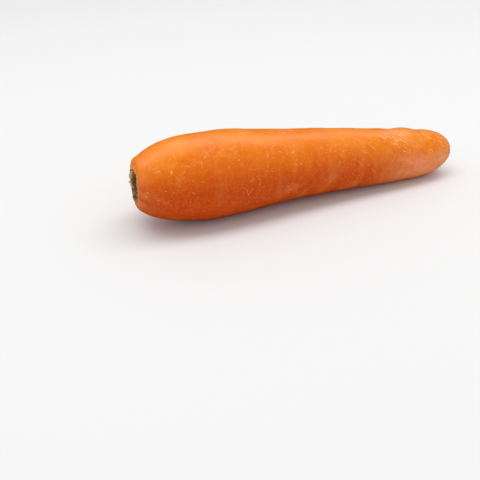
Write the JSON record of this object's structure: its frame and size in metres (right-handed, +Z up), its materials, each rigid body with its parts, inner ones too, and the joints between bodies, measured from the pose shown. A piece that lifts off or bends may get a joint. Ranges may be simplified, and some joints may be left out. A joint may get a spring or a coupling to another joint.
{
  "type": "carrot",
  "caption": "Plump blunt-tipped carrot lying on its side, its leaves trimmed off level with the hollow of the crown.",
  "frame": {"origin": "middle of the carrot's bounding box, on the surface that it lies on", "axes": "+X along the root from its crown to its tip, +Y across it, +Z up"},
  "size_m": [0.1866, 0.0448, 0.0446],
  "materials": {
    "flesh": "waxy satin orange skin with fine pale scuffs",
    "cut_stem": "dull tan cut end",
    "dried_stalk": "rough dried khaki and olive brown"
  },
  "bodies": {
    "root": {"taproot": "flesh", "stem_stub": "cut_stem", "leaf_stalk_1": "dried_stalk", "leaf_stalk_2": "dried_stalk", "leaf_stalk_3": "dried_stalk", "leaf_stalk_4": "dried_stalk", "leaf_stalk_5": "dried_stalk", "leaf_stalk_6": "dried_stalk", "leaf_stalk_7": "dried_stalk"}
  },
  "joints": []
}
